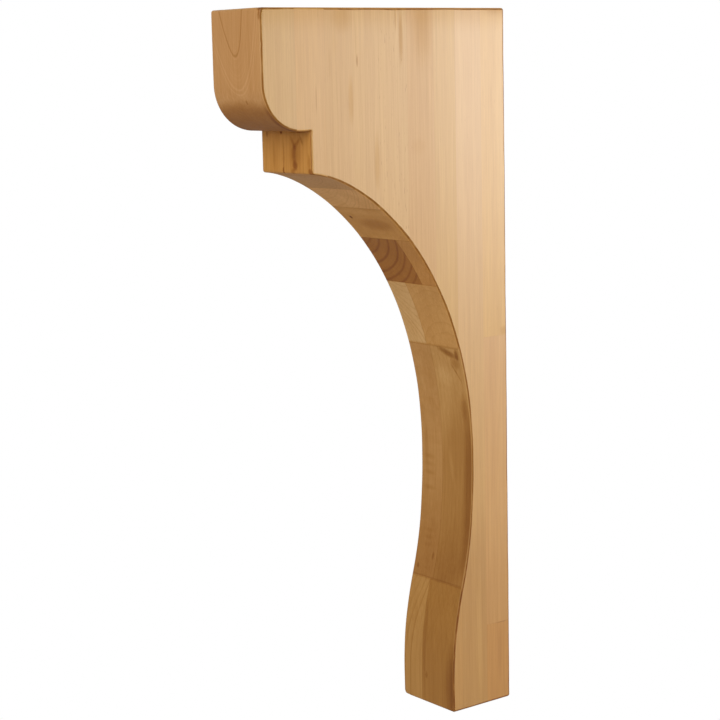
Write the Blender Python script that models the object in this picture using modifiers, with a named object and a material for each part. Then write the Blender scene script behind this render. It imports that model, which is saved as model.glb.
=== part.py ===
"""Wooden corbel bracket, glued up from upright boards and sawn to one profile.

The unit is the metre. The origin is the middle of the wall face. X runs across the
thickness, Y points into the wall, so the bracket reaches out towards -Y, and Z is up.
The whole profile is first drawn as one blank with eased edges. Each board is then a box
that is cut to the blank, so a board keeps only what the saw and the sander left of it.
"""
import math

import bmesh
import bpy

# Overall size
HEIGHT = 0.559
PROJECTION = 0.2313
THICKNESS = 0.0632

# Profile, from the top face down. A drop is measured from the top face and a depth from the wall.
NOSE_HEIGHT = 0.0885
NOSE_ROUND = 0.0345
STEP_SETBACK = 0.042
STEP_HEIGHT = 0.0316
THROAT_DROP = 0.3533
THROAT_DEPTH = 0.0387
FOOT_DEPTH = 0.0615
FOOT_HEIGHT = 0.0221
ARRIS = 0.002

# Pull of each end of the two sawn curves, as a share of the way that the curve goes there
COVE_START_SLOPE = math.radians(2.3)
COVE_START_PULL = 0.256
COVE_THROAT_PULL = 0.725
OGEE_THROAT_PULL = 0.57
OGEE_FOOT_PULL = 0.44
QUARTER_ROUND_PULL = 0.5523

# Boards, counted from the wall. A width is that of the right hand board of a pair.
BOARD_THICKNESS = 0.0252
GLUE_GAP = 0.0003
BACK_TOP_LENGTH = 0.257
BACK_MIDDLE_LENGTH = 0.236
BOARD_2_RIGHT_WIDTH = 0.0363
BOARD_3_RIGHT_WIDTH = 0.0392
BOARD_4_RIGHT_WIDTH = 0.0176
# The boards aren't all planed alike: how far each glue line stands off an even pace
GLUE_LINE_SHIFTS = {1: -0.0003, 2: 0.0005, 3: -0.0032, 4: -0.0025, 5: -0.0006, 6: -0.0014,
                    7: -0.0014}

# Smoothness
CURVE_STEPS = 32
ARRIS_STEPS = 3
SHARP_CORNER = math.radians(30)

# Timber colours (linear) and finish
PALE_MAPLE = (0.70, 0.47, 0.27)
TAN_MAPLE = (0.47, 0.26, 0.11)
WARM_MAPLE = (0.40, 0.20, 0.07)
DARK_MAPLE = (0.24, 0.10, 0.03)
TIMBER_ROUGHNESS = 0.45

TOP = HEIGHT / 2
FOOT = -HEIGHT / 2
THROAT = TOP - THROAT_DROP
RIGHT_FACE = THICKNESS / 2
# A board is cut from a box that stands this far outside the blank
SPARE = BOARD_THICKNESS


def clear_scene():
    for thing in list(bpy.data.objects):
        bpy.data.objects.remove(thing, do_unlink=True)


def new_collection(name, parent):
    collection = bpy.data.collections.new(name)
    parent.children.link(collection)
    return collection


def timber(name, colour):
    material = bpy.data.materials.new(name)
    material.use_nodes = True
    shader = material.node_tree.nodes["Principled BSDF"]
    shader.inputs["Base Color"].default_value = (*colour, 1)
    shader.inputs["Roughness"].default_value = TIMBER_ROUGHNESS
    shader.inputs["Metallic"].default_value = 0
    return material


def profile_corners():
    """The outline as (point, pull back, pull ahead), each (depth from the wall, height).

    A pull of None leaves that side of the corner straight.
    """
    nose_under = TOP - NOSE_HEIGHT
    step_depth = PROJECTION - STEP_SETBACK
    cove_start = nose_under - STEP_HEIGHT
    foot_shoulder = FOOT + FOOT_HEIGHT
    quarter = QUARTER_ROUND_PULL * NOSE_ROUND
    start = COVE_START_PULL * (step_depth - THROAT_DEPTH)
    ogee = THROAT - foot_shoulder
    return [
        ((0, TOP), None, None),
        ((PROJECTION, TOP), None, None),
        ((PROJECTION, nose_under + NOSE_ROUND), None, (0, -quarter)),
        ((PROJECTION - NOSE_ROUND, nose_under), (quarter, 0), None),
        ((step_depth, nose_under), None, None),
        ((step_depth, cove_start), None,
         (-start * math.cos(COVE_START_SLOPE), -start * math.sin(COVE_START_SLOPE))),
        ((THROAT_DEPTH, THROAT), (0, COVE_THROAT_PULL * (cove_start - THROAT)),
         (0, -OGEE_THROAT_PULL * ogee)),
        ((FOOT_DEPTH, foot_shoulder), (0, OGEE_FOOT_PULL * ogee), None),
        ((FOOT_DEPTH, FOOT), None, None),
        ((0, FOOT), None, None),
    ]


def profile_curve(collection):
    """The outline as a filled flat curve, as thick as the bracket, turned to stand upright."""
    data = bpy.data.curves.new("profile", "CURVE")
    data.dimensions = "2D"
    data.fill_mode = "BOTH"
    data.extrude = THICKNESS / 2
    data.resolution_u = CURVE_STEPS
    data.render_resolution_u = CURVE_STEPS
    spline = data.splines.new("BEZIER")
    spline.use_cyclic_u = True
    corners = profile_corners()
    spline.bezier_points.add(len(corners) - 1)
    for knot, (place, back, ahead) in zip(spline.bezier_points, corners):
        knot.co = (*place, 0)
        knot.handle_left_type = "FREE" if back else "VECTOR"
        knot.handle_right_type = "FREE" if ahead else "VECTOR"
        if back:
            knot.handle_left = (place[0] + back[0], place[1] + back[1], 0)
        if ahead:
            knot.handle_right = (place[0] + ahead[0], place[1] + ahead[1], 0)
    curve = bpy.data.objects.new("profile", data)
    curve.rotation_euler = (math.radians(90), 0, math.radians(-90))
    collection.objects.link(curve)
    return curve


def eased_blank(collection):
    """The sawn profile as one closed mesh whose outer edges are eased, kept as the cutter."""
    curve = profile_curve(collection)
    bpy.context.view_layer.update()
    evaluated = curve.evaluated_get(bpy.context.evaluated_depsgraph_get())
    mesh = bpy.data.meshes.new_from_object(evaluated)
    edges = bmesh.new()
    edges.from_mesh(mesh)
    bmesh.ops.remove_doubles(edges, verts=edges.verts, dist=0.00001)
    for side in (-1, 1):
        cap = [face for face in edges.faces if face.normal.z * side > 0.9]
        bmesh.ops.dissolve_faces(edges, faces=cap)
    bmesh.ops.recalc_face_normals(edges, faces=edges.faces)
    weight = edges.edges.layers.float.new("bevel_weight_edge")
    for edge in edges.edges:
        edge[weight] = float(edge.calc_face_angle_signed() > SHARP_CORNER)
    edges.to_mesh(mesh)
    edges.free()
    blank = bpy.data.objects.new("sawn_blank", mesh)
    collection.objects.link(blank)
    blank.matrix_world = curve.matrix_world
    bpy.data.objects.remove(curve, do_unlink=True)
    ease = blank.modifiers.new("eased edges", "BEVEL")
    ease.limit_method = "WEIGHT"
    ease.width = ARRIS
    ease.segments = ARRIS_STEPS
    blank.hide_render = True
    blank.display_type = "WIRE"
    return blank


def board(name, low, high, material, blank, collection, parent):
    """A box between two corners, cut to the sawn blank."""
    size = [top - bottom for bottom, top in zip(low, high)]
    mesh = bpy.data.meshes.new(name)
    box = bmesh.new()
    bmesh.ops.create_cube(box, size=1)
    bmesh.ops.scale(box, vec=size, verts=box.verts)
    box.to_mesh(mesh)
    box.free()
    piece = bpy.data.objects.new(name, mesh)
    piece.location = [(bottom + top) / 2 for bottom, top in zip(low, high)]
    piece.data.materials.append(material)
    collection.objects.link(piece)
    piece.parent = parent
    cut = piece.modifiers.new("sawn profile", "BOOLEAN")
    cut.operation = "INTERSECT"
    cut.solver = "EXACT"
    cut.object = blank
    return piece


def spans(low, joints, high):
    """Stretches from low to high, parted at the joints by the glue gap, open at both ends."""
    half = GLUE_GAP / 2
    starts = [low - SPARE] + [joint + half for joint in joints]
    ends = [joint - half for joint in joints] + [high + SPARE]
    return list(zip(starts, ends))


def widths(name, right_width):
    """The board's name or names, each with its stretch across the thickness."""
    if right_width is None:
        return [(name, spans(-RIGHT_FACE, [], RIGHT_FACE)[0])]
    left, right = spans(-RIGHT_FACE, [RIGHT_FACE - right_width], RIGHT_FACE)
    return [(name + "_left", left), (name + "_right", right)]


def lengths(number, name, front):
    """The board's name or names, each with its stretch of height."""
    if number == 1:
        joints = [TOP - BACK_TOP_LENGTH - BACK_MIDDLE_LENGTH, TOP - BACK_TOP_LENGTH]
        return list(zip((name + "_bottom", name + "_middle", name + "_top"),
                        spans(FOOT, joints, TOP)))
    if front < THROAT_DEPTH:
        return [(name, spans(FOOT, [], TOP)[0])]
    foot, upper = spans(FOOT, [THROAT], TOP)
    if front < FOOT_DEPTH:
        return [(name, upper), ("foot_board_%d" % number, foot)]
    return [(name, upper)]


def layer_name(number, layers):
    if number == 1:
        return "back_board"
    if number == 2:
        return "throat_board"
    if number == layers:
        return "nose_board"
    return "cove_board_%d" % number


def all_boards():
    """Every board as (layer number, name, low corner, high corner)."""
    right_widths = {2: BOARD_2_RIGHT_WIDTH, 3: BOARD_3_RIGHT_WIDTH, 4: BOARD_4_RIGHT_WIDTH}
    layers = math.floor(PROJECTION / BOARD_THICKNESS)
    joints = [BOARD_THICKNESS * number + GLUE_LINE_SHIFTS.get(number, 0)
              for number in range(1, layers)]
    glue_lines = [0] + joints
    boards = []
    for number, (near, far) in enumerate(spans(0, joints, PROJECTION), start=1):
        behind = glue_lines[number - 1]
        for part, (foot, top) in lengths(number, layer_name(number, layers), behind):
            for name, (left, right) in widths(part, right_widths.get(number)):
                boards.append((number, name, (left, -far, foot), (right, -near, top)))
    return boards


def build():
    clear_scene()
    bracket = new_collection("wooden corbel bracket", bpy.context.scene.collection)
    cutters = new_collection("cutters", bpy.context.scene.collection)
    wall_point = bpy.data.objects.new("wall_face_centre", None)
    wall_point.empty_display_size = THICKNESS
    bracket.objects.link(wall_point)
    blank = eased_blank(cutters)
    pale = timber("pale maple", PALE_MAPLE)
    tan = timber("tan maple", TAN_MAPLE)
    warm = timber("warm maple", WARM_MAPLE)
    dark = timber("dark maple", DARK_MAPLE)
    by_layer = {1: pale, 2: warm, 3: tan}
    special = {"cove_board_4_left": dark, "cove_board_4_right": pale, "nose_board": tan}
    for number, name, low, high in all_boards():
        material = special.get(name, by_layer.get(number, warm))
        board(name, low, high, material, blank, bracket, wall_point)
    bpy.context.view_layer.update()


build()
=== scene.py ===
# %% [markdown]
# # A glued-up maple corbel
#
# A corbel is a bracket that carries a worktop or a shelf. This one is sawn from a block of
# maple boards that stand upright and are glued face to face. The frame gives the boards'
# true places. This lesson dresses them: each board becomes a finely modelled piece with
# eased edges, and gets its own growth rings, fibres, knots and colour.

# %% Load the frame
import math

import bmesh
import bpy
import numpy as np
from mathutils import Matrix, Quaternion, Vector


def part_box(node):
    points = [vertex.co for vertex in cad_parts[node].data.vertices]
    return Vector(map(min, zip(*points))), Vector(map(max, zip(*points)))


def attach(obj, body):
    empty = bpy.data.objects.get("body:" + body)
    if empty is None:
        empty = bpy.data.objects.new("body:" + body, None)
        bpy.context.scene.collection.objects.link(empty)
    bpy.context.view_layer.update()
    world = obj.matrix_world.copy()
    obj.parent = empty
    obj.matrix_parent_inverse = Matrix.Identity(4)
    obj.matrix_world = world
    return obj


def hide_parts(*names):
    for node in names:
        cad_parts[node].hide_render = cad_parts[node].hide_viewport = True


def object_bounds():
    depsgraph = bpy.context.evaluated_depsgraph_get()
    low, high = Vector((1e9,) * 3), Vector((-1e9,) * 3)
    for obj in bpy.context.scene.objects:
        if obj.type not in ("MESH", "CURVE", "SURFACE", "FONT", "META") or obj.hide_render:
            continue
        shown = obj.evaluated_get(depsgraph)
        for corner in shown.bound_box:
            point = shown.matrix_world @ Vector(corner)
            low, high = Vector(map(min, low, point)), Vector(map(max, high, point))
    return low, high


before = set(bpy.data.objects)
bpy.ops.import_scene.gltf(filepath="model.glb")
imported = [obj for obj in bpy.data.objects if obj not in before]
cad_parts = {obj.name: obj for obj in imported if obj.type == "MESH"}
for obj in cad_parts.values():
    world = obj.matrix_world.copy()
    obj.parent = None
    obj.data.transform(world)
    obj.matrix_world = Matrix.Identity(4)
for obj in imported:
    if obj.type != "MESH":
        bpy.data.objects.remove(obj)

CAD_BOX = [list(corner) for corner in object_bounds()]
MM = 1000
LOW, HIGH = np.array(CAD_BOX[0]), np.array(CAD_BOX[1])
HALF_THICKNESS = HIGH[0]
PROJECTION = -LOW[1]
TOP, FOOT = HIGH[2], LOW[2]
print("bracket", np.round((HIGH - LOW) * MM, 1), "mm, boards:", len(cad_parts))

# %% [markdown]
# ## The camera
#
# The photograph looks at the bracket from the front right and a little above, through a
# long lens, so the upright edges stay nearly parallel. A camera is placed by the direction
# it looks from, its distance and the point it aims at, which are easier to read than three
# rotation angles. The small roll is the photographer's.

# %% The camera
VIEW_AZIMUTH = math.radians(52.50)
VIEW_ELEVATION = math.radians(8.95)
VIEW_ROLL = math.radians(-1.25)
VIEW_DISTANCE = 1.4414
VIEW_AIM = Vector((-0.0057, -0.1202, 0.0111))
LENS = 92.56

towards_camera = Vector((
    math.sin(VIEW_AZIMUTH) * math.cos(VIEW_ELEVATION),
    -math.cos(VIEW_AZIMUTH) * math.cos(VIEW_ELEVATION),
    math.sin(VIEW_ELEVATION),
))
camera = bpy.data.objects.new("camera", bpy.data.cameras.new("camera"))
bpy.context.scene.collection.objects.link(camera)
camera.data.lens = LENS
camera.location = VIEW_AIM + towards_camera * VIEW_DISTANCE
camera.rotation_mode = "QUATERNION"
camera.rotation_quaternion = (towards_camera.to_track_quat("Z", "Y")
                              @ Quaternion((0, 0, 1), VIEW_ROLL))
bpy.context.scene.camera = camera
print("camera at", [round(c, 3) for c in camera.location])

# %% [markdown]
# ## The sawn profile
#
# Seen from the side, the bracket is one outline: a flat top, a nose with a rounded lower
# front, a square step, a long hollow sweep to the throat, and a short ogee out to the foot.
# Straight runs, quarter rounds and two cubic curves describe it with a few sizes. Each
# piece of outline gives points and, at each point, the direction into the wood, because the
# eased edges are found later by moving in along it. The first number of a point is the
# depth from the wall and the second is the height.

# %% Profile sizes
NOSE_UNDER = TOP - 0.0885
NOSE_ROUND = 0.0345
STEP_DEPTH = PROJECTION - 0.042
COVE_START = NOSE_UNDER - 0.0316
THROAT_DEPTH = 0.0387
THROAT = TOP - 0.3533
FOOT_DEPTH = 0.0615
FOOT_SHOULDER = FOOT + 0.0221
ARRIS = 0.002
COVE_SLOPE = math.radians(2.3)
COVE_START_PULL = 0.256 * (STEP_DEPTH - THROAT_DEPTH)
COVE_THROAT_PULL = 0.725 * (COVE_START - THROAT)
OGEE_THROAT_PULL = 0.57 * (THROAT - FOOT_SHOULDER)
OGEE_FOOT_PULL = 0.44 * (THROAT - FOOT_SHOULDER)
OUTLINE_PACE = 0.0016
TURN_STEPS = 8
print("the sweep drops", round((COVE_START - THROAT) * MM), "mm to the throat")

# %% Pieces of outline
DOWN, UP, IN, OUT = (np.array(way, float) for way in ((0, -1), (0, 1), (-1, 0), (1, 0)))


def inward(way):
    """The direction into the wood, a quarter turn to the right of the way along the outline."""
    way = way / np.linalg.norm(way, axis=-1, keepdims=True)
    return np.stack([way[..., 1], -way[..., 0]], axis=-1)


def straight(start, end):
    """Points at an even pace: start plus a share of the way to the end."""
    start, end = np.asarray(start, float), np.asarray(end, float)
    count = int(np.linalg.norm(end - start) / OUTLINE_PACE) + 2
    share = np.linspace(0, 1, count)[:, None]
    return start + (end - start) * share, np.tile(inward(end - start), (count, 1))


def turn(corner, way_in, way_out, radius):
    """A round corner: the centre lies one radius inside both sides, points stand round it.

    A radius of zero keeps the corner sharp and only turns the inward direction.
    """
    first, last = inward(way_in), inward(way_out)
    centre = corner + radius * (first + last) / (1 + first @ last)
    start = math.atan2(first[1], first[0])
    swing = (math.atan2(last[1], last[0]) - start + math.pi) % (2 * math.pi) - math.pi
    angle = start + swing * np.linspace(0, 1, TURN_STEPS + 1)
    normal = np.stack([np.cos(angle), np.sin(angle)], axis=1)
    return centre - radius * normal, normal


def sweep(start, start_pull, end_pull, end, skip=0.0):
    """A cubic curve: the four corner points weighted by t and 1 - t to the third degree."""
    corners = np.array([start, start + start_pull, end + end_pull, end])
    t = np.linspace(0, 1, int(np.linalg.norm(end - start) / OUTLINE_PACE) + 2)[:, None]
    weights = np.hstack([(1 - t) ** 3, 3 * (1 - t) ** 2 * t, 3 * (1 - t) * t ** 2, t ** 3])
    slopes = np.hstack([-(1 - t) ** 2, (1 - t) * (1 - 3 * t), t * (2 - 3 * t), t ** 2])
    points, ways = weights @ corners, slopes @ corners
    kept = np.linalg.norm(points - start, axis=1) >= skip
    return points[kept], inward(ways[kept])


# %% The whole outline
def outline():
    """All pieces in order, round from the back of the top: (points, inward directions)."""
    cove_way = np.array([-math.cos(COVE_SLOPE), -math.sin(COVE_SLOPE)])
    throat = np.array([THROAT_DEPTH, THROAT])
    corners = {
        "top back": turn(np.array([0, TOP]), UP, OUT, ARRIS),
        "top front": turn(np.array([PROJECTION, TOP]), OUT, DOWN, ARRIS),
        "step top": turn(np.array([STEP_DEPTH, NOSE_UNDER]), IN, DOWN, 0),
        "step foot": turn(np.array([STEP_DEPTH, COVE_START]), DOWN, cove_way, ARRIS),
        "foot front": turn(np.array([FOOT_DEPTH, FOOT]), DOWN, IN, ARRIS),
        "foot back": turn(np.array([0, FOOT]), IN, UP, ARRIS),
    }
    nose_centre = np.array([PROJECTION - NOSE_ROUND, NOSE_UNDER + NOSE_ROUND])
    angle = np.linspace(0, -math.pi / 2, int(NOSE_ROUND * math.pi / 2 / OUTLINE_PACE) + 2)
    out = np.stack([np.cos(angle), np.sin(angle)], axis=1)
    nose = (nose_centre + NOSE_ROUND * out, -out)
    pieces = [
        corners["top back"],
        straight(corners["top back"][0][-1], corners["top front"][0][0]),
        corners["top front"],
        straight(corners["top front"][0][-1], nose[0][0]),
        nose,
        straight(nose[0][-1], (STEP_DEPTH, NOSE_UNDER)),
        corners["step top"],
        straight((STEP_DEPTH, NOSE_UNDER), corners["step foot"][0][0]),
        corners["step foot"],
        sweep(np.array([STEP_DEPTH, COVE_START]), COVE_START_PULL * cove_way,
              COVE_THROAT_PULL * UP, throat, skip=ARRIS),
        sweep(throat, OGEE_THROAT_PULL * DOWN, OGEE_FOOT_PULL * UP,
              np.array([FOOT_DEPTH, FOOT_SHOULDER])),
        straight((FOOT_DEPTH, FOOT_SHOULDER), corners["foot front"][0][0]),
        corners["foot front"],
        straight(corners["foot front"][0][-1], corners["foot back"][0][0]),
        corners["foot back"],
        straight(corners["foot back"][0][-1], corners["top back"][0][0]),
    ]
    return np.vstack([piece[0] for piece in pieces]), np.vstack([piece[1] for piece in pieces])


RIM, INTO_WOOD = outline()
RIM_LENGTH = np.concatenate([[0], np.cumsum(np.linalg.norm(np.diff(RIM, axis=0), axis=1))])
print("outline", len(RIM), "points,", round(RIM_LENGTH[-1], 3), "m round")

# %% [markdown]
# ## The skin of the blank
#
# The outline is carried across the thickness. Near each side face it moves inwards along a
# quarter circle, which eases the edge. A sander never eases an edge evenly, so the radius
# wanders a little along the way, and a few nicks are pressed into it where the bracket was
# knocked. The skin is worked out as one grid of arrays: stations along the outline by rows
# across the thickness.

# %% The skin as a grid
ARRIS_ROWS = 7
FLAT_ROWS = 9
WANDER = 0.3
# Each wave: turns in one way round the outline, where it starts, how large it is
WANDER_WAVES = ((9, 0, 1.0), (23, 1.3, 0.7), (41, 4.1, 0.5))
# Each nick: depth from the wall, height, side face, reach, how deep it is
NICKS = (
    (0.2313, 0.2780, 1, 0.0040, 0.0009),
    (0.2313, 0.2540, 1, 0.0030, 0.0005),
    (0.2290, 0.2115, 1, 0.0026, 0.0005),
    (0.1893, 0.1905, 1, 0.0030, 0.0006),
    (0.1893, 0.1600, 1, 0.0034, 0.0008),
    (0.0640, -0.1610, 1, 0.0036, 0.0006),
    (0.0615, -0.2330, 1, 0.0040, 0.0006),
    (0.0615, -0.2790, -1, 0.0034, 0.0008),
    (0.0000, -0.2780, -1, 0.0040, 0.0008),
    (0.1200, 0.0990, -1, 0.0030, 0.0006),
)


def arris_radius():
    """The edge's radius at each station: its largest size less a slow wander of three waves."""
    along = RIM_LENGTH / RIM_LENGTH[-1] * 2 * math.pi
    waves = sum(size * np.sin(turns * along + start) for turns, start, size in WANDER_WAVES)
    highest = sum(size for turns, start, size in WANDER_WAVES)
    return ARRIS * (1 - WANDER * (0.5 + waves / (2 * highest)))


def skin():
    """Vertices (station, row, xyz) and how far round the eased edge each one is, 0 to 1.

    Across an edge at angle a, a point is radius * sin a towards the side face and
    radius * (1 - cos a) into the wood.
    """
    radius = arris_radius()[:, None]
    angle = np.linspace(0, math.pi / 2, ARRIS_ROWS)
    right = HALF_THICKNESS - radius + radius * np.sin(angle)
    inset = radius * (1 - np.cos(angle))
    flat_share = np.linspace(-1, 1, FLAT_ROWS + 2)[1:-1]
    flat = (HALF_THICKNESS - radius) * flat_share
    across = np.hstack([-right[:, ::-1], flat, right])
    inset = np.hstack([inset[:, ::-1], 0 * flat, inset])
    rounding = np.hstack([angle[::-1], 0 * flat_share, angle]) / (math.pi / 2)
    depth = RIM[:, :1] + inset * INTO_WOOD[:, :1]
    height = RIM[:, 1:] + inset * INTO_WOOD[:, 1:]
    grid = np.stack([across, -depth, height], axis=-1)
    return grid, np.broadcast_to(rounding, across.shape)


def press_nicks(grid):
    """Each nick moves the skin into the wood by its depth times (1 - distance² / reach²)².

    Nothing moves across the thickness, so the side faces stay flat.
    """
    inwards = np.stack([0 * INTO_WOOD[:, 0], -INTO_WOOD[:, 0], INTO_WOOD[:, 1]], axis=-1)
    for depth, height, side, reach, sink in NICKS:
        centre = np.array([side * HALF_THICKNESS, -depth, height])
        near = 1 - ((grid - centre) ** 2).sum(axis=-1) / reach ** 2
        grid = grid + sink * np.clip(near, 0, 1)[..., None] ** 2 * inwards[:, None]
    return grid


SKIN, ROUNDING = skin()
SKIN = press_nicks(SKIN)
print("skin", SKIN.shape[:2], "eased by", np.round(arris_radius().min() * MM, 2), "to",
      np.round(arris_radius().max() * MM, 2), "mm")

# %% The blank as one closed mesh
MERGE = 0.000002
LITRES = 1000


def closed_blank():
    """The skin's squares and the two side faces, closed round the outline, normals out."""
    stations, rows = SKIN.shape[:2]
    number = np.arange(stations * rows).reshape(stations, rows)
    ahead = np.roll(number, -1, axis=0)
    squares = np.stack([number[:, :-1], ahead[:, :-1], ahead[:, 1:], number[:, 1:]], axis=-1)
    faces = squares.reshape(-1, 4).tolist() + [number[::-1, 0].tolist(), number[:, -1].tolist()]
    mesh = bpy.data.meshes.new("blank")
    mesh.from_pydata(SKIN.reshape(-1, 3).tolist(), [], faces)
    mesh.attributes.new("rounding", "FLOAT", "POINT").data.foreach_set(
        "value", ROUNDING.astype(np.float32).ravel())
    blank = bmesh.new()
    blank.from_mesh(mesh)
    bpy.data.meshes.remove(mesh)
    bmesh.ops.remove_doubles(blank, verts=blank.verts, dist=MERGE)
    if blank.calc_volume(signed=True) < 0:
        bmesh.ops.reverse_faces(blank, faces=blank.faces)
    return blank


BLANK = closed_blank()
OPEN_EDGES = sum(len(edge.link_faces) != 2 for edge in BLANK.edges)
print("blank", len(BLANK.faces), "faces,", OPEN_EDGES, "open edges,",
      round(BLANK.calc_volume() * LITRES, 3), "litres")

# %% [markdown]
# ## Sawing the blank into its boards
#
# In the workshop the boards are glued first and the profile is sawn after, so every board
# carries its own slice of the same smooth surface. The same is done here: a copy of the
# blank is cut by the planes of the board's glue lines, which lie half a gap outside its
# node in the frame, and each cut is closed with a flat face. The boards then meet flush.

# %% Cutting a board
GLUE_GAP = 0.0003
OUTSIDE = 0.01


def board_limits(node):
    """The planes that a board is cut by: half a gap outside its node at a glue line.

    On the bracket's outside, and below a board that ends at the sweep, nothing is cut.
    """
    low, high = (np.array(corner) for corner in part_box(node))
    butted = node.startswith("back_board")
    margin_low = np.where(np.abs(low - LOW) < GLUE_GAP, OUTSIDE, GLUE_GAP / 2)
    margin_high = np.where(np.abs(high - HIGH) < GLUE_GAP, OUTSIDE, GLUE_GAP / 2)
    if not butted:
        margin_low[2] = margin_high[2] = OUTSIDE
    return low - margin_low, high + margin_high


def cut_board(node):
    """A copy of the blank, kept inside the board's limits, with flat faces at the cuts."""
    board = BLANK.copy()
    for axis in range(3):
        for side, limit in zip((-1, 1), board_limits(node)):
            way, place = Vector((0, 0, 0)), Vector((0, 0, 0))
            way[axis], place[axis] = side, limit[axis]
            everything = board.verts[:] + board.edges[:] + board.faces[:]
            cut = bmesh.ops.bisect_plane(board, geom=everything, plane_co=place, plane_no=way,
                                         dist=MERGE / 10, clear_outer=True)
            rim = [item for item in cut["geom_cut"] if isinstance(item, bmesh.types.BMEdge)]
            if rim:
                bmesh.ops.edgeloop_fill(board, edges=rim)
    return board


def keep_level(board, node):
    """Where the sweep parted a board, keeps only the part at the node's own height."""
    low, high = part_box(node)
    middle = (low[2] + high[2]) / 2
    above = middle > THROAT
    if node.startswith(("cove", "foot", "nose")):
        other = [v for v in board.verts if (v.co.z > THROAT) != above]
        bmesh.ops.delete(board, geom=other, context="VERTS")


# %% All the boards
SHARP = math.radians(35)


def board_piece(node):
    """One board as an object of its own, smooth over the eased edges and crisp at the cuts."""
    board = cut_board(node)
    keep_level(board, node)
    bmesh.ops.recalc_face_normals(board, faces=board.faces)
    mesh = bpy.data.meshes.new(node + "_maple")
    board.to_mesh(mesh)
    board.free()
    mesh.shade_smooth()
    mesh.set_sharp_from_angle(angle=SHARP)
    piece = bpy.data.objects.new(node + "_maple", mesh)
    bpy.context.scene.collection.objects.link(piece)
    piece.modifiers.new("flat faces stay flat", "WEIGHTED_NORMAL").keep_sharp = True
    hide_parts(node)
    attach(piece, "root")
    return piece


BOARDS = {node: board_piece(node) for node in sorted(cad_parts)}
for node, piece in BOARDS.items():
    print(node, len(piece.data.polygons), "faces")
BLANK.free()

# %% [markdown]
# ## Maple, cut from the log in code
#
# Wood is a solid pattern. A tree adds one shell of growth a year, so a point's ring is its
# distance from the pith, the tree's middle line, divided by the width of a ring. A board
# shows whatever its cut happens to meet: parallel lines where the pith runs along, arrow
# heads where it leans, arcs where the saw runs across. Each board below therefore only
# says where its pith ran and how it leaned, and its figure follows from its own shape.
# Node groups hold the effects that all boards share. They work in millimetres.

# %% Small helpers for wiring
def give(tree, socket, feed):
    """Feeds a socket with another node's output or with a plain value."""
    if isinstance(feed, bpy.types.NodeSocket):
        tree.links.new(feed, socket)
    else:
        socket.default_value = feed


def put(tree, kind, feeds=(), **settings):
    """A node with its settings. Its inputs are fed in order by sockets or plain values."""
    node = tree.nodes.new("ShaderNode" + kind)
    for name, value in settings.items():
        setattr(node, name, value)
    for socket, feed in zip(node.inputs, feeds):
        if feed is not None:
            give(tree, socket, feed)
    return node


def calc(tree, operation, *feeds):
    """One sum on numbers."""
    return put(tree, "Math", feeds, operation=operation).outputs[0]


def mix(tree, share, first, second, blend="MIX"):
    """Two colours mixed by a share. Inputs 6 and 7 and output 2 are the node's colours."""
    node = put(tree, "Mix", data_type="RGBA", blend_type=blend)
    for number, feed in ((0, share), (6, first), (7, second)):
        give(tree, node.inputs[number], feed)
    return node.outputs[2]


def between(tree, value, low, high, to_low=0.0, to_high=1.0):
    """A smooth step of a value from low to high."""
    return put(tree, "MapRange", (value, low, high, to_low, to_high),
               interpolation_type="SMOOTHSTEP").outputs["Result"]


def noise(tree, point, size, seed, detail=2.0):
    """Noise between 0 and 1 whose blobs are about `size` millimetres across, out and up."""
    spread = put(tree, "VectorMath", (point, [1 / s for s in size]), operation="MULTIPLY")
    moved = put(tree, "VectorMath", (spread.outputs[0], seed), operation="ADD")
    return put(tree, "TexNoise", (moved.outputs[0], None, 1.0, detail)).outputs[0]


def start_group(name, inputs, outputs):
    """A node group with named sockets. An input is (name, kind, usual value)."""
    tree = bpy.data.node_groups.new(name, "ShaderNodeTree")
    for label, kind, usual in inputs:
        socket = tree.interface.new_socket(label, in_out="INPUT",
                                           socket_type="NodeSocket" + kind)
        if usual is not None:
            socket.default_value = usual
    for label, kind in outputs:
        tree.interface.new_socket(label, in_out="OUTPUT", socket_type="NodeSocket" + kind)
    given = tree.nodes.new("NodeGroupInput").outputs
    return tree, tree.nodes.new("NodeGroupOutput"), given


def use(tree, group, **feeds):
    """A shared group in a tree. Feeds go by socket name, with _ for a space."""
    node = tree.nodes.new("ShaderNodeGroup")
    node.node_tree = group
    for label, feed in feeds.items():
        give(tree, node.inputs[label.replace("_", " ")], feed)
    return node.outputs


# %% Shared effect: growth rings
# Each wave of a ring: its size across, out and up, and its share of the wobble
RING_WAVES = (((34, 34, 130), 1.0), ((9, 9, 45), 0.35))
LINE_POWER = 5.0
LINE_END = 0.9
STRENGTH_SPREAD, LEAST_STRENGTH = 1.4, 0.4


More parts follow.
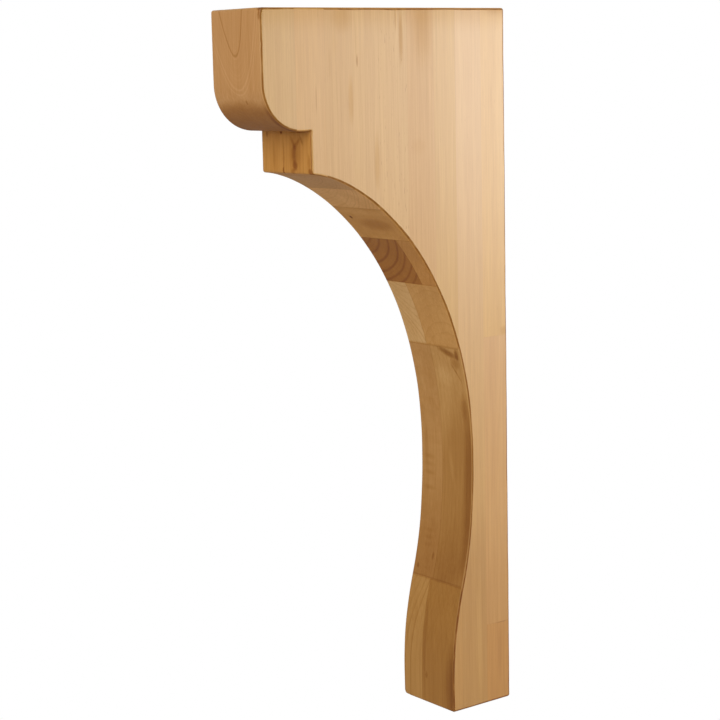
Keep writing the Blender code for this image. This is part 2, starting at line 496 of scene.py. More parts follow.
def growth_rings_group():
    """Distance from the leaning pith, cut into rings that darken towards their outer edge.

    A ring's line is the share of the way across it to the fifth power, cut off over the
    last tenth, and each ring has a strength of its own. Radius tells how far from the pith
    a point is. Taper is how much a ring widens per millimetre up from the pith's own point.
    """
    tree, out, given = start_group("growth rings", [
        ("Point", "Vector", None), ("Pith", "Vector", None), ("Lean", "Vector", None),
        ("Taper", "Float", 0.0), ("Ring Width", "Float", 3.0), ("Wobble", "Float", 1.0),
        ("Seed", "Float", 0.0)], [("Line", "Float"), ("Radius", "Float")])
    foot = put(tree, "SeparateXYZ", (given["Pith"],)).outputs[2]
    height = put(tree, "SeparateXYZ", (given["Point"],)).outputs[2]
    height = calc(tree, "SUBTRACT", height, foot)
    pith = put(tree, "VectorMath", (given["Lean"], height, given["Pith"]),
               operation="MULTIPLY_ADD")
    away = put(tree, "VectorMath", (given["Point"], pith.outputs[0]), operation="SUBTRACT")
    level = put(tree, "VectorMath", (away.outputs[0], (1, 1, 0)), operation="MULTIPLY")
    radius = put(tree, "VectorMath", (level.outputs[0],), operation="LENGTH").outputs["Value"]
    for size, share in RING_WAVES:
        wave = calc(tree, "SUBTRACT", noise(tree, given["Point"], size, given["Seed"]), 0.5)
        wave = calc(tree, "MULTIPLY", wave, calc(tree, "MULTIPLY", given["Wobble"], share * 2))
        radius = calc(tree, "ADD", radius, wave)
    radius = calc(tree, "SUBTRACT", radius, calc(tree, "MULTIPLY", given["Taper"], height))
    turns = calc(tree, "DIVIDE", radius, given["Ring Width"])
    share = calc(tree, "FRACT", turns)
    ring = calc(tree, "ADD", calc(tree, "FLOOR", turns), given["Seed"])
    own = put(tree, "TexWhiteNoise", (None, ring), noise_dimensions="1D").outputs["Value"]
    rising = calc(tree, "POWER", share, LINE_POWER)
    line = calc(tree, "MULTIPLY", rising, between(tree, share, LINE_END, 1.0, 1.0, 0.0))
    strength = calc(tree, "MULTIPLY_ADD", own, STRENGTH_SPREAD, LEAST_STRENGTH)
    line = calc(tree, "MULTIPLY", line, strength)
    tree.links.new(line, out.inputs["Line"])
    tree.links.new(radius, out.inputs["Radius"])
    return tree


GROWTH_RINGS = growth_rings_group()


# %% Shared effect: long fibres
FIBRE_SIZES = (("Broad", (13, 13, 420)), ("Streak", (2.3, 2.3, 170)), ("Fine", (0.8, 0.8, 40)))


def long_fibres_group():
    """Three layers of noise drawn out along the grain, each about -0.5 to 0.5."""
    tree, out, given = start_group("long fibres", [
        ("Point", "Vector", None), ("Seed", "Float", 0.0)],
        [("Broad", "Float"), ("Streak", "Float"), ("Fine", "Float")])
    for label, size in FIBRE_SIZES:
        level = calc(tree, "SUBTRACT", noise(tree, given["Point"], size, given["Seed"]), 0.5)
        tree.links.new(level, out.inputs[label])
    return tree


LONG_FIBRES = long_fibres_group()


# %% Shared effect: curl and pores
CURL_BAR, CURL_AREA, PORE = (15, 15, 4.2), (26, 26, 60), (0.9, 0.9, 7)
AREA_STEP = (0.3, 0.65)
PORE_STEP = (0.66, 0.8)


def figure_group():
    """Curl is short bars across the grain, in some areas only. Pores are dark short dashes."""
    tree, out, given = start_group("curl and pores", [
        ("Point", "Vector", None), ("Seed", "Float", 0.0)],
        [("Curl", "Float"), ("Pores", "Float")])
    point, seed = given["Point"], given["Seed"]
    bars = calc(tree, "SUBTRACT", noise(tree, point, CURL_BAR, seed), 0.5)
    areas = between(tree, noise(tree, point, CURL_AREA, seed), *AREA_STEP)
    dashes = noise(tree, point, PORE, seed, 1.0)
    tree.links.new(calc(tree, "MULTIPLY", bars, areas), out.inputs["Curl"])
    tree.links.new(between(tree, dashes, *PORE_STEP), out.inputs["Pores"])
    return tree


FIGURE = figure_group()


# %% Shared effect: a patch of darker wood
def patch_group():
    """A soft blob that may slope: one near its centre, nought past its reach, with a ragged rim.

    Solid is the share of the reach that is full. The blob sinks by Slope for each millimetre
    across, so a long thin one makes a slanting streak.
    """
    tree, out, given = start_group("dark patch", [
        ("Point", "Vector", None), ("Centre", "Vector", None), ("Reach", "Vector", None),
        ("Slope", "Float", 0.0), ("Solid", "Float", 0.35), ("Rough", "Float", 0.0),
        ("Ragged", "Float", 0.4)], [("Mask", "Float")])
    away = put(tree, "VectorMath", (given["Point"], given["Centre"]), operation="SUBTRACT")
    x, y, z = put(tree, "SeparateXYZ", (away.outputs[0],)).outputs
    level = put(tree, "CombineXYZ", (x, y, calc(tree, "MULTIPLY_ADD", x, given["Slope"], z)))
    scaled = put(tree, "VectorMath", (level.outputs[0], given["Reach"]), operation="DIVIDE")
    distance = put(tree, "VectorMath", (scaled.outputs[0],), operation="LENGTH")
    reach = calc(tree, "MULTIPLY_ADD", given["Rough"], given["Ragged"], distance.outputs["Value"])
    tree.links.new(between(tree, reach, given["Solid"], 1.0, 1.0, 0.0), out.inputs["Mask"])
    return tree


DARK_PATCH = patch_group()


# %% Shared effect: how a face was cut
SIDE_STEP, END_STEP, TOP_STEP = (0.3, 0.9), (0.3, 1.0), (0.2, 0.7)


def cut_face_group():
    """Side tells the planed side faces, End the cuts across the grain, Top what faces up."""
    tree, out, given = start_group("cut face", [("Normal", "Vector", None)],
                                   [("Side", "Float"), ("End", "Float"), ("Top", "Float")])
    x, y, z = put(tree, "SeparateXYZ", (given["Normal"],)).outputs
    tree.links.new(between(tree, calc(tree, "ABSOLUTE", x), *SIDE_STEP), out.inputs["Side"])
    tree.links.new(between(tree, calc(tree, "ABSOLUTE", z), *END_STEP), out.inputs["End"])
    tree.links.new(between(tree, z, *TOP_STEP), out.inputs["Top"])
    return tree


CUT_FACE = cut_face_group()


# %% Shared effect: glue line
GLUE_BEAD = (3, 3, 3)
BEAD_SWING, BEAD_LESS = 2, -0.2


def glue_line_group():
    """A thin line where a board meets its neighbour: the least distance to its glued sides.

    The line's width swings with noise, so the glue looks beaded.
    """
    tree, out, given = start_group("glue line", [
        ("Point", "Vector", None), ("Low", "Vector", None), ("High", "Vector", None),
        ("Width", "Float", 0.3)], [("Line", "Float")])
    over = put(tree, "VectorMath", (given["Point"], given["Low"]), operation="SUBTRACT")
    under = put(tree, "VectorMath", (given["High"], given["Point"]), operation="SUBTRACT")
    least = put(tree, "VectorMath", (over.outputs[0], under.outputs[0]), operation="MINIMUM")
    x, y, z = put(tree, "SeparateXYZ", (least.outputs[0],)).outputs
    distance = calc(tree, "MINIMUM", calc(tree, "MINIMUM", x, y), z)
    ragged = noise(tree, given["Point"], GLUE_BEAD, (0, 0, 0))
    swing = calc(tree, "MULTIPLY_ADD", ragged, BEAD_SWING, BEAD_LESS)
    reach = calc(tree, "MULTIPLY", given["Width"], swing)
    tree.links.new(between(tree, calc(tree, "DIVIDE", distance, reach), 0.0, 1.0, 1.0, 0.0),
                   out.inputs["Line"])
    return tree


GLUE_LINE = glue_line_group()


# %% Shared effect: eased edge
EDGE_OF_SIDE = HALF_THICKNESS * MM
OFF_SIDE = 0.01
LINE_FADE = 0.3
# Where round the eased edge the painted highlight strip comes in
EDGE_HIGHLIGHT_STEP = (0.05, 0.25)
EDGE_SHADE_NOISE, EDGE_SHADE_SEED = (6, 6, 14), (5, 1, 3)
# The painted edge shade's noise from and to, and how dark the shade is there
EDGE_SHADE_STEP = (0.3, 0.6, 0.6, 1.0)


def eased_edge_group():
    """The eased edge: a pale strip in front, which is a painted highlight, and a dark line by the
    side face, which is painted shade where the edge turns from the lamps.

    The line runs from a share Start of the way round to a share Stop, and is patchy.
    """
    tree, out, given = start_group("eased edge", [
        ("Point", "Vector", None), ("Rounding", "Float", 0.0), ("Start", "Float", 0.3),
        ("Stop", "Float", 1.0)], [("Strip", "Float"), ("Line", "Float")])
    x = put(tree, "SeparateXYZ", (given["Point"],)).outputs[0]
    short = calc(tree, "SUBTRACT", EDGE_OF_SIDE, calc(tree, "ABSOLUTE", x))
    off_side = between(tree, short, 0.0, OFF_SIDE)
    full = calc(tree, "ADD", given["Start"], LINE_FADE)
    line = between(tree, given["Rounding"], given["Start"], full)
    gone = calc(tree, "ADD", given["Stop"], LINE_FADE)
    past = between(tree, given["Rounding"], given["Stop"], gone, 1.0, 0.0)
    line = calc(tree, "MULTIPLY", line, past)
    patchy = noise(tree, given["Point"], EDGE_SHADE_NOISE, EDGE_SHADE_SEED)
    held = calc(tree, "MULTIPLY", between(tree, patchy, *EDGE_SHADE_STEP), off_side)
    line = calc(tree, "MULTIPLY", line, held)
    strip = calc(tree, "MULTIPLY", between(tree, given["Rounding"], *EDGE_HIGHLIGHT_STEP), off_side)
    tree.links.new(calc(tree, "MULTIPLY", strip, calc(tree, "SUBTRACT", 1.0, line)),
                   out.inputs["Strip"])
    tree.links.new(line, out.inputs["Line"])
    return tree


EASED_EDGE = eased_edge_group()

# %% [markdown]
# ## One log for each board
#
# A board's look is a short list of facts. Face and side are its two colours: the sawn front
# is darker and richer than the planed side, partly as the wood's own colour and partly as
# painted shade on the front faces. Pith is a point of the log's middle line (across, out from
# the wall, up) and lean is how far that line moves per millimetre up.
# Rings, fibres, curl and pores add up to one number, the darkness. At a darkness of one
# the red has halved, and green and blue have lost more, so darker wood is richer too.
# Knots, streaks and dirt are dark patches, laid where each board has them. A few patches are
# painted shade instead: under the nose, at the top back corner of the side face, and in part
# towards the foot on the side faces. A patch can also be dull: it takes the white sheen off
# the side face, which lets the wood's own orange through.

# %% The usual look
USUAL = {
    # The face colour is darker and richer than the side's: partly the wood's own colour, partly
    # painted shade on the front faces.
    "face": (0.48, 0.215, 0.038), "side": (0.585, 0.307, 0.07), "sheen": 1.0,
    "pith": (0, -60, 0), "lean": (0.0, 0.0), "taper": 0.0, "ring": 3.0, "rings": 0.20,
    "wobble": 2.0, "curl": 0.0, "pores": 0.10, "edge": (0.3, 1.0, 1.0), "marks": (),
    "patches": (), "side_patches": (),
}
print("a look has", len(USUAL), "facts")

# %% Patches
SOLID = 0.3
DEEP = 8
RAGGED = 1.2
SIDE_PATCH_WIDTH = 6
BAR_HEIGHT = 2.8


def patch(across, out, up, wide, tall, dark, deep=DEEP, slope=0.0, solid=SOLID, dull=0.0):
    """A dark patch: its place and its reach in millimetres, how dark and how dull it is.

    A negative darkness is a pale patch. Its rim is ragged by about a millimetre.
    """
    shape = {"Centre": (across, -out, up), "Reach": (wide, deep, tall), "Slope": slope,
             "Solid": solid, "Ragged": RAGGED / min(wide, tall)}
    return shape, dark, dull


def side_patch(out, up, deep, tall, dark, dull=0.0, wide=SIDE_PATCH_WIDTH, solid=SOLID):
    """A patch that lies on the right side face."""
    return patch(EDGE_OF_SIDE, out, up, wide, tall, dark, deep, solid=solid, dull=dull)


def curl_bar(across, out, up, wide, dark):
    """A single bar of curl, soft all the way from its middle to its rim."""
    return patch(across, out, up, wide, BAR_HEIGHT, dark, solid=0.0)


# %% Looks of the nose and the step
# A mark is a ring of its own: (radius, half width, darkness). An edge is where round the
# eased edge its dark line of painted shade starts, how dark that shade is, and where it stops.
ON_STEP = 189

LOOKS = {
    "nose_board": {
        "face": (0.54, 0.264, 0.086), "side": (0.565, 0.3, 0.069), "pith": (-3, 231, 261),
        "lean": (-0.15, -0.337), "taper": 0.337, "ring": 4.0, "rings": -0.06, "wobble": 1.0,
        "edge": (0.3, 1.0, 0.75),
        "marks": ((10.0, 1.1, 0.32), (26.5, 1.2, -0.13), (29.5, 1.0, -0.11), (21.5, 1.0, -0.05)),
        "patches": (
            # The first patch darkens the lower round and the underside of the nose: painted shade
            # where the nose turns under, away from the lamps.
            patch(0, 215, 175, 90, 42, 0.6, deep=90, solid=0.75),
            patch(8.6, 230, 212.5, 1.6, 2.4, 0.5), patch(31, 231, 277, 3, 9, 0.7),
            patch(30, 228, 279, 5, 2, 0.6),
            patch(30, 212, 190, 5, 34, 0.6, deep=60, solid=0.1),
        ),
        "side_patches": (side_patch(229, 279.3, 6, 2.0, 0.7), side_patch(218, 279.3, DEEP, 1.4, 0.5)),
    },
    "cove_board_8": {
        "face": (0.56, 0.25, 0.047), "side": (0.59, 0.302, 0.066), "pith": (-60, 150, 0),
        "lean": (0.02, 0.05), "ring": 5.0, "rings": 0.15, "wobble": 4.0, "edge": (0.1, 0.9, 0.4),
        "patches": (
            patch(8.4, ON_STEP, 183.2, 3.8, 3.8, 0.45, slope=0.9, solid=0.1),
            patch(14.8, ON_STEP, 182.8, 4.6, 3.0, 0.45, slope=-0.7, solid=0.1),
            patch(19.6, ON_STEP, 184.0, 3.2, 3.4, 0.45, slope=1.2, solid=0.1),
            patch(10.9, ON_STEP, 179.4, 3.6, 4.0, 0.6, solid=0.1),
            patch(9.8, ON_STEP, 173.5, 4.6, 9, 0.5, solid=0.1),
            patch(11, ON_STEP, 165.6, 4, 5, 0.8), patch(8, ON_STEP, 161, 3, 3.5, 0.4),
            patch(11.5, ON_STEP, 174, 11, 18, 0.3, solid=0.1),
            patch(-3.9, ON_STEP, 160.8, 1.4, 5, 0.9), patch(-3.2, ON_STEP, 172, 1.8, 17, 0.3),
            patch(-15.5, ON_STEP, 172, 2.2, 17, 0.25), patch(-24, ON_STEP, 188.4, 1.6, 3.2, 0.5),
            patch(-5.8, ON_STEP, 190.3, 2.0, 2.6, 1.4), patch(29.6, ON_STEP, 161, 3.2, 3.6, 0.8),
            patch(28.5, ON_STEP, 168, 2, 9, 0.3), patch(17, ON_STEP, 190.8, 17, 1.4, 0.8),
        ),
        "side_patches": (side_patch(183.7, 214, 0.9, 14, 0.25, 0.15), side_patch(176.5, 180, 1.8, 40, 0.05, 0.1)),
    },
}
print("the step has", len(LOOKS["cove_board_8"]["patches"]), "knots and streaks")

# %% Looks of the cove
LOOKS |= {
    "cove_board_7": {
        "face": (0.585, 0.292, 0.09), "side": (0.575, 0.297, 0.067), "pith": (-10, 190, 0),
        "ring": 2.6, "sheen": 0.88,
        "side_patches": (
            side_patch(159, 271, 13, 14, 0.06, 0.28, solid=0.2), side_patch(151.8, 212, 3.4, 24, 0.06, 0.42),
            side_patch(166, 254, 2.4, 12, 0.02, 0.15), side_patch(171, 240, 0.9, 16, 0.08, 0.15),
        ),
    },
    "cove_board_6": {
        "face": (0.735, 0.375, 0.118), "pith": (-30, 190, 0), "ring": 2.8, "rings": 0.25,
        "sheen": 0.85,
        "side_patches": (
            side_patch(128.5, 165, 3.6, 28, 0.08, 0.38), side_patch(145.6, 241, 1.1, 6, 0.4, 0.4),
            side_patch(146.5, 256, 1.2, 18, 0.05, 0.15),
        ),
    },
    "cove_board_5": {
        "face": (0.60, 0.275, 0.058), "pith": (-50, 70, 0), "ring": 2.5, "pores": 0.5,
        "sheen": 0.8,
        "patches": (
            patch(-19.7, 115, 121.5, 2.0, 1.4, 1.7), patch(6, 110, 116, 26, 12, 0.3),
            patch(0, 122, 126, 60, 4, -0.12),
        ),
        "side_patches": (side_patch(108.8, 272, 0.9, 13, 0.15, 0.25), side_patch(103.9, 257, 2.6, 25, 0.17, 0.5)),
    },
    "cove_board_4_left": {
        "face": (0.386, 0.139, 0.013), "side": (0.45, 0.192, 0.045), "pith": (-40.6, 169.3, 0),
        "lean": (0.0, -0.487), "ring": 2.9, "rings": 0.12, "wobble": 1.2,
        "marks": ((30.0, 1.6, 0.3), (38.8, 1.7, 0.4), (48.2, 1.8, 0.45), (57.0, 1.8, 0.45),
                  (64.3, 1.7, 0.4), (70.9, 1.5, 0.4), (77.0, 1.5, 0.35)),
    },
    "cove_board_4_right": {
        "face": (0.525, 0.226, 0.044), "side": (0.57, 0.287, 0.065), "pith": (60, 40, 0),
        "ring": 3.5, "sheen": 0.68,
        "side_patches": (side_patch(83, 266, 15, 40, 0.05, 0.4, solid=0.1), side_patch(88, 176, 9, 8, 0.03, 0.12)),
    },
    "cove_board_3_left": {
        "face": (0.655, 0.37, 0.135), "pith": (13.7, 112.5, 0), "lean": (-0.402, 0.26),
        "ring": 1.4, "rings": 0.26, "wobble": 0.8,
    },
    "cove_board_3_right": {
        "face": (0.577, 0.281, 0.073), "side": (0.575, 0.297, 0.055), "pith": (20, -20, 0),
        "rings": 0.1, "sheen": 0.84,
    },
}
print("the dark board shows", len(LOOKS["cove_board_4_left"]["marks"]), "strong rings")

# %% Looks of the throat and the foot
LOOKS |= {
    "throat_board_left": {
        "face": (0.505, 0.243, 0.065), "pith": (-20, -10, 0), "ring": 4.0, "rings": 0.04,
        "curl": 0.18, "pores": 0.25,
        "patches": (
            patch(-18, 45, -190, 60, 120, 0.35, deep=60, solid=0.1),
            patch(-9.2, 46.7, -160, 2, 4, 0.4), patch(-25.8, 49, -170.5, 2, 3, 0.4),
            patch(-24.5, 39, -72, 3.5, 28, 0.14), curl_bar(-20.6, 39, -79, 11, 0.15),
            curl_bar(-20.6, 39, -85.5, 11, 0.13), curl_bar(-20.6, 39, -92.8, 10, 0.20),
            curl_bar(-20.3, 39.5, -105.2, 10, 0.19), curl_bar(-17, 43, -140, 10, 0.15),
            curl_bar(-17, 44, -146, 10, 0.15), curl_bar(-16, 45, -152, 10, 0.15),
        ),
    },
    "throat_board_right": {
        "face": (0.515, 0.256, 0.067), "side": (0.6, 0.315, 0.08), "pith": (120, 20, 0),
        "ring": 4.6, "rings": 0.15, "edge": (0.45, 1.1, 1.0),
        "patches": (
            patch(16, 49, 11.4, 15, 3.8, 0.75, slope=0.3, solid=0.2),
            patch(26.5, 49.5, 10.5, 2.8, 6, 0.8), patch(23, 48, 3, 7, 7, 0.4, solid=0.1),
            patch(20, 46.5, -1.5, 4, 2.2, 0.3, slope=1.3),
            patch(23.5, 45, -6.5, 5, 2, 0.3, slope=1.5),
            patch(8, 45, -9, 16, 13, -0.16, solid=0.1), patch(26, 41, -34, 6, 16, 0.35, solid=0.1),
            patch(30, 42, -100, 11, 85, 0.5, deep=40, solid=0.3),
            patch(15, 42, -115, 40, 95, 0.28, deep=30, solid=0.6, slope=-0.6),
            patch(7, 39, -85, 9, 12, -0.12, slope=3.4, solid=0.1),
            patch(16, 47, -200, 70, 90, 0.32, deep=40, solid=0.2),
            patch(3.3, 52.3, -183.3, 5, 2, 0.5), patch(15.6, 52, -182.4, 10, 1.6, 0.4),
        ),
        "side_patches": (
            # The first side patch darkens the side face towards the foot: partly the wood's own
            # tone, partly painted shade where the light falls off downwards.
            side_patch(30, -235, 80, 135, 0.23, wide=60, solid=0.5), side_patch(33, -222, 4.5, 75, -0.12),
        ),
    },
    "foot_board_3_left": {
        "face": (0.495, 0.239, 0.056), "side": (0.53, 0.262, 0.06), "pith": (-98.4, -63, 0),
        "ring": 3.4, "rings": 0.3, "wobble": 0.8,
    },
    "foot_board_3_right": {
        "face": (0.40, 0.172, 0.028), "side": (0.54, 0.262, 0.055), "pith": (50, -10, 0),
        "rings": 0.1, "edge": (0.3, 1.3, 1.0),
        "patches": (
            patch(-5, 60, -228, 3, 45, 0.2, deep=30), patch(-2, 61.5, -256, 2, 4, 0.3),
            patch(32, 60, -262, 14, 50, 0.75, deep=30, solid=0.1),
        ),
    },
}
print("the throat has", len(LOOKS["throat_board_left"]["patches"]), "bars and streaks on the left")

# %% Looks of the back boards
LOOKS |= {
    "back_board_top": {
        "face": (0.52, 0.265, 0.08), "side": (0.635, 0.337, 0.075), "pith": (5, -40, 0),
        "sheen": 0.9,
        "side_patches": (
            # The first side patch darkens the top back corner of the side face: painted shade
            # where the light falls off at the top. It also dulls the sheen there.
            side_patch(8, 280, 22, 9, 0.16, 0.2, solid=0.1), side_patch(14.5, 212, 0.9, 14, 0.08, 0.05),
            side_patch(3, 26, 6, 5, 0.15, 0.25),
        ),
    },
    "back_board_middle": {
        "face": (0.50, 0.25, 0.07), "side": (0.61, 0.308, 0.08), "pith": (-5, -60, 0),
        # This side patch darkens the side face towards the foot: partly the wood's own tone,
        # partly painted shade where the light falls off downwards.
        "side_patches": (side_patch(10, -235, 80, 120, 0.14, wide=60, solid=0.4),),
    },
    "back_board_bottom": {
        "face": (0.47, 0.22, 0.055), "side": (0.54, 0.242, 0.042), "pith": (5, 70, 0),
        "side_patches": (side_patch(10.8, -238, 3, 32, 0.12), side_patch(9, -213.6, DEEP, 1.2, 0.3)),
    },
}
print("looks for", len(LOOKS), "boards")

# %% Where a board is glued
FAR = 1000.0


def glue_planes(node):
    """The board's glued sides in millimetres, where another board's side is one gap away.

    A side that meets no board is moved far away. Only the back boards are butted end to end.
    """
    low, high = (np.array(corner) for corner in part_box(node))
    lows, highs = (np.array([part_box(other)[end] for other in BOARDS]) for end in (0, 1))
    glued_low = (np.abs(highs - low) < 2 * GLUE_GAP).any(axis=0)
    glued_high = (np.abs(lows - high) < 2 * GLUE_GAP).any(axis=0)
    glued_low[2] &= node.startswith("back_board")
    glued_high[2] &= node.startswith("back_board")
    return (np.where(glued_low, low * MM, -FAR).tolist(),
            np.where(glued_high, high * MM, FAR).tolist())


print("the nose is glued at", np.round(glue_planes("nose_board")[1], 1)[1], "mm")

# %% Adding up the darkness
ON_SIDE = 0.25
BROAD_ON_FACE, BROAD_ON_SIDE = 0.30, 0.12
FIBRE_WEIGHTS = (("Streak", 0.22), ("Fine", 0.32))
RAGGED_SIZES = (2, 2, 3)


def log_darkness(tree, point, look, seed, side):
    """Rings, marks, fibres, curl and pores added up. Rings are fainter on the side faces."""
    across, out, up = look["pith"]
    rings = use(tree, GROWTH_RINGS, Point=point, Pith=(across, -out, up), Taper=look["taper"],
                Lean=(look["lean"][0], -look["lean"][1], 0), Ring_Width=look["ring"],
                Wobble=look["wobble"], Seed=seed)
    fibres = use(tree, LONG_FIBRES, Point=point, Seed=seed)
    figure = use(tree, FIGURE, Point=point, Seed=seed)
    total = calc(tree, "MULTIPLY", rings["Line"], look["rings"])
    for radius, half_width, dark in look["marks"]:
        apart = calc(tree, "ABSOLUTE", calc(tree, "SUBTRACT", rings["Radius"], radius))
        total = calc(tree, "ADD", total, between(tree, apart, 0.0, half_width, dark, 0.0))
    total = calc(tree, "MULTIPLY", total, between(tree, side, 0.0, 1.0, 1.0, ON_SIDE))
    broad = between(tree, side, 0.0, 1.0, BROAD_ON_FACE, BROAD_ON_SIDE)
    total = calc(tree, "MULTIPLY_ADD", fibres["Broad"], broad, total)
    for label, weight in FIBRE_WEIGHTS:
        total = calc(tree, "MULTIPLY_ADD", fibres[label], weight, total)
    total = calc(tree, "MULTIPLY_ADD", figure["Curl"], look["curl"], total)
    return calc(tree, "MULTIPLY_ADD", figure["Pores"], look["pores"], total)


def add_patches(tree, point, look, side, total):
    """The darkness with the board's patches added, and how much they dull the sheen."""
    rough = calc(tree, "SUBTRACT", noise(tree, point, RAGGED_SIZES, (0, 0, 0)), 0.5)
    front = calc(tree, "SUBTRACT", 1.0, side)
    dullness = 0.0
    for label, shown in (("patches", front), ("side_patches", side)):
        for shape, dark, dull in look[label]:
            mask = use(tree, DARK_PATCH, Point=point, Rough=rough, **shape)["Mask"]
            mask = calc(tree, "MULTIPLY", mask, shown)
            total = calc(tree, "MULTIPLY_ADD", mask, dark, total)
            dullness = calc(tree, "MULTIPLY_ADD", mask, dull, dullness)
    return total, dullness


# %% The maple's colour
DEEPENED = (0.50, 0.35, 0.14)
PALE_TOP = 0.6
# Blue painted into the left side face in place of the sheen that it doesn't get
LEFT_PAINTED_SHEEN_BLUE = 1.4
MIDDLE = 5


def timber_colour(tree, look, across, cut, total):
    """Face or side colour, times the deepened colour to the power of the darkness.

    The top takes some of the side's paleness. The left side face gets no sheen from the lamps,
    so a little blue is painted into its colour in place of that sheen; without it, it would look
    olive.
    """
    red, green, blue = look["side"]
    right = between(tree, across, -MIDDLE, MIDDLE)
    planed = mix(tree, right, (red, green, LEFT_PAINTED_SHEEN_BLUE * blue, 1), (red, green, blue, 1))
    pale = calc(tree, "MAXIMUM", cut["Side"], calc(tree, "MULTIPLY", cut["Top"], PALE_TOP))
    # The face colour is darker than the side's, partly as painted shade on the front faces.
    colour = mix(tree, pale, (*look["face"], 1), planed)
    deepening = put(tree, "Gamma", ((*DEEPENED, 1), total)).outputs[0]
    return mix(tree, 1.0, colour, deepening, blend="MULTIPLY")


# %% The maple material
SIDE_ROUGHNESS, FACE_ROUGHNESS, ROUGHER = 0.40, 0.55, 0.1
SHINE = 0.35
# Heights between which the sheen fades, and how strong it is at each
HANDLED = (258.0, 284.0, 1.0, 0.3)
GRAIN_RELIEF = 0.00006
# The eased edge's strip is a painted highlight, given as a negative darkness.
GLUE_DARKER, EDGE_HIGHLIGHT_DARKNESS, END_DARKER = 0.22, -0.05, 0.08
EDGE_SHADE_ON_TOP = 0.15


def maple(node, seed):
    """The board's own maple: its colours, darkened by its figure, glue lines and edges."""
    look = USUAL | LOOKS[node]
    material = bpy.data.materials.new(node + " maple")
    material.use_nodes = True
    tree = material.node_tree
    shader = tree.nodes["Principled BSDF"]
    place = put(tree, "TexCoord").outputs["Object"]
    point = put(tree, "VectorMath", (place, (MM, MM, MM)), operation="MULTIPLY").outputs[0]
    across, out, height = put(tree, "SeparateXYZ", (point,)).outputs
    cut = use(tree, CUT_FACE, Normal=put(tree, "NewGeometry").outputs["Normal"])
    low, high = glue_planes(node)
    glue = use(tree, GLUE_LINE, Point=point, Low=low, High=high)["Line"]
    glue = calc(tree, "MULTIPLY", glue, between(tree, cut["Side"], 0.0, 1.0, 1.0, ON_SIDE))
    rounding = put(tree, "Attribute", attribute_name="rounding").outputs["Fac"]
    # The eased edge's dark line is painted shade, fainter on edges that face up.
    start, edge_shade, stop = look["edge"]
    edge = use(tree, EASED_EDGE, Point=point, Rounding=rounding, Start=start, Stop=stop)
    held = between(tree, cut["Top"], 0.0, 1.0, edge_shade, EDGE_SHADE_ON_TOP)
    line = calc(tree, "MULTIPLY", edge["Line"], held)
    total = log_darkness(tree, point, look, seed, cut["Side"])
    total, dullness = add_patches(tree, point, look, cut["Side"], total)
    total = calc(tree, "MULTIPLY_ADD", glue, GLUE_DARKER, total)
    total = calc(tree, "ADD", line, total)
    total = calc(tree, "MULTIPLY_ADD", edge["Strip"], EDGE_HIGHLIGHT_DARKNESS, total)
    total = calc(tree, "MULTIPLY_ADD", cut["End"], END_DARKER, total)
    colour = timber_colour(tree, look, across, cut, total)
    tree.links.new(colour, shader.inputs["Base Color"])
    smooth = between(tree, cut["Side"], 0.0, 1.0, FACE_ROUGHNESS, SIDE_ROUGHNESS)
    roughness = calc(tree, "MULTIPLY_ADD", total, ROUGHER, smooth)
    tree.links.new(roughness, shader.inputs["Roughness"])
    sheen = calc(tree, "MULTIPLY", between(tree, height, *HANDLED), look["sheen"])
    clean = calc(tree, "SUBTRACT", calc(tree, "SUBTRACT", sheen, line), dullness)
    clean = calc(tree, "MULTIPLY", cut["Side"], calc(tree, "MAXIMUM", clean, 0.0))
    tree.links.new(clean, shader.inputs["Coat Weight"])
    shader.inputs["Coat Roughness"].default_value = SIDE_ROUGHNESS
    shader.inputs["Specular IOR Level"].default_value = SHINE
    relief = put(tree, "Bump", (1.0, GRAIN_RELIEF))
    tree.links.new(calc(tree, "MULTIPLY", total, -1.0), relief.inputs["Height"])
    tree.links.new(relief.outputs[0], shader.inputs["Normal"])
    return material


# %% Dressing the boards
SEED_PACE, FIRST_SEED = 3.7, 1.1

for turn_number, (node, piece) in enumerate(BOARDS.items()):
    piece.data.materials.append(maple(node, SEED_PACE * turn_number + FIRST_SEED))

# %% [markdown]
# ## Floor and light
#
# The bracket hangs on a wall that isn't there, over a plain white floor. Soft light comes
# from all round. A large bright panel stands behind on the right, where the smooth side
# face mirrors it, and gives that face the pale sheen that fades towards the foot.

# %% Floor
FLOOR_BELOW = 0.12
FLOOR_SIZE = 12.0
FLOOR_PAINT = 0.65

floor_mesh = bpy.data.meshes.new("floor")
reach = FLOOR_SIZE / 2
level = FOOT - FLOOR_BELOW
floor_mesh.from_pydata([(-reach, -reach, level), (reach, -reach, level),
                        (reach, reach, level), (-reach, reach, level)], [], [(0, 1, 2, 3)])
floor = bpy.data.objects.new("floor", floor_mesh)
bpy.context.scene.collection.objects.link(floor)


def floor_paint():
    """White to the camera, a middling grey to the light that it throws back up at the wood."""
    paint = bpy.data.materials.new("white floor")
    paint.use_nodes = True
    nodes, links = paint.node_tree.nodes, paint.node_tree.links
    nodes.clear()
    seen = nodes.new("ShaderNodeEmission")
    seen.inputs["Color"].default_value = (1, 1, 1, 1)
    dull = nodes.new("ShaderNodeBsdfDiffuse")
    dull.inputs["Color"].default_value = (FLOOR_PAINT, FLOOR_PAINT, FLOOR_PAINT, 1)
    path = nodes.new("ShaderNodeLightPath")
    choice = nodes.new("ShaderNodeMixShader")
    output = nodes.new("ShaderNodeOutputMaterial")
    links.new(path.outputs["Is Camera Ray"], choice.inputs[0])
    links.new(dull.outputs[0], choice.inputs[1])
    links.new(seen.outputs[0], choice.inputs[2])
    links.new(choice.outputs[0], output.inputs["Surface"])
    return paint


floor_mesh.materials.append(floor_paint())
print("floor at", round(level, 3), "m")

# %% Backdrop
BACKDROP_LIGHT = 1.0
ROOM_LIGHT = 0.12
BACKDROP_WAY = (-0.78, 0.60, 0.0)
ROOM_UP_TO, BACKDROP_FROM = 0.3, 0.75


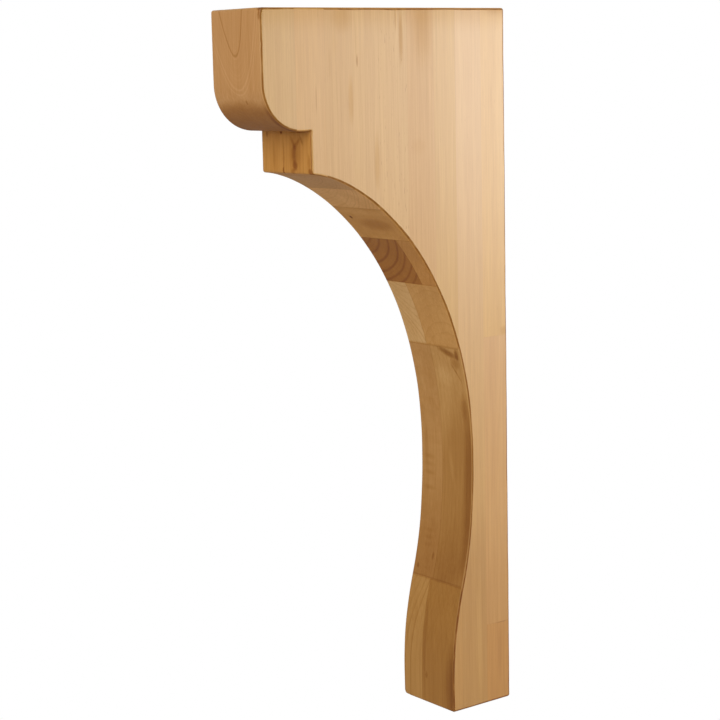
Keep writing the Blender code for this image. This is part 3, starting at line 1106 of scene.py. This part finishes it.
def studio_world():
    """A white backdrop behind the bracket that fades into a dimmer room on the near side."""
    world = bpy.data.worlds.new("studio")
    world.use_nodes = True
    nodes, links = world.node_tree.nodes, world.node_tree.links
    nodes.clear()
    place = nodes.new("ShaderNodeTexCoord")
    facing = nodes.new("ShaderNodeVectorMath")
    facing.operation = "DOT_PRODUCT"
    facing.inputs[1].default_value = BACKDROP_WAY
    fade = nodes.new("ShaderNodeMapRange")
    fade.interpolation_type = "SMOOTHSTEP"
    fade.inputs["From Min"].default_value = ROOM_UP_TO
    fade.inputs["From Max"].default_value = BACKDROP_FROM
    fade.inputs["To Min"].default_value = ROOM_LIGHT
    fade.inputs["To Max"].default_value = BACKDROP_LIGHT
    path = nodes.new("ShaderNodeLightPath")
    brightness = nodes.new("ShaderNodeMath")
    brightness.operation = "MAXIMUM"
    light = nodes.new("ShaderNodeBackground")
    light.inputs["Color"].default_value = (1, 1, 1, 1)
    output = nodes.new("ShaderNodeOutputWorld")
    links.new(place.outputs["Generated"], facing.inputs[0])
    links.new(facing.outputs["Value"], fade.inputs["Value"])
    links.new(fade.outputs["Result"], brightness.inputs[0])
    links.new(path.outputs["Is Camera Ray"], brightness.inputs[1])
    links.new(brightness.outputs[0], light.inputs["Strength"])
    links.new(light.outputs[0], output.inputs["Surface"])
    return world


bpy.context.scene.world = studio_world()
bpy.context.scene.view_settings.view_transform = "Standard"
print("backdrop", BACKDROP_LIGHT, "room", ROOM_LIGHT)

# %% Lamps
SHEEN_COLOUR = (1.0, 0.985, 0.94)


def panel(name, azimuth, elevation, distance, size, radiance):
    """A square lamp that faces the bracket from one direction.

    Azimuth turns from the front (-Y) towards the right (+X). A lamp that looks as bright as a
    white sheet of the given radiance gives pi * size² * radiance watts.
    """
    azimuth, elevation = math.radians(azimuth), math.radians(elevation)
    way = Vector((math.sin(azimuth) * math.cos(elevation),
                  -math.cos(azimuth) * math.cos(elevation), math.sin(elevation)))
    lamp = bpy.data.lights.new(name, "AREA")
    lamp.size = size
    lamp.energy = math.pi * size ** 2 * radiance
    holder = bpy.data.objects.new(name, lamp)
    holder.location = VIEW_AIM + way * distance
    holder.rotation_euler = way.to_track_quat("Z", "Y").to_euler()
    bpy.context.scene.collection.objects.link(holder)
    return lamp


key = panel("key panel", azimuth=22, elevation=30, distance=2.5, size=2.0, radiance=3.6)
sheen = panel("sheen panel", azimuth=139, elevation=8, distance=2.0, size=0.8, radiance=11.5)
sheen.color = SHEEN_COLOUR
print("key panel", round(key.energy), "W, sheen panel", round(sheen.energy), "W")
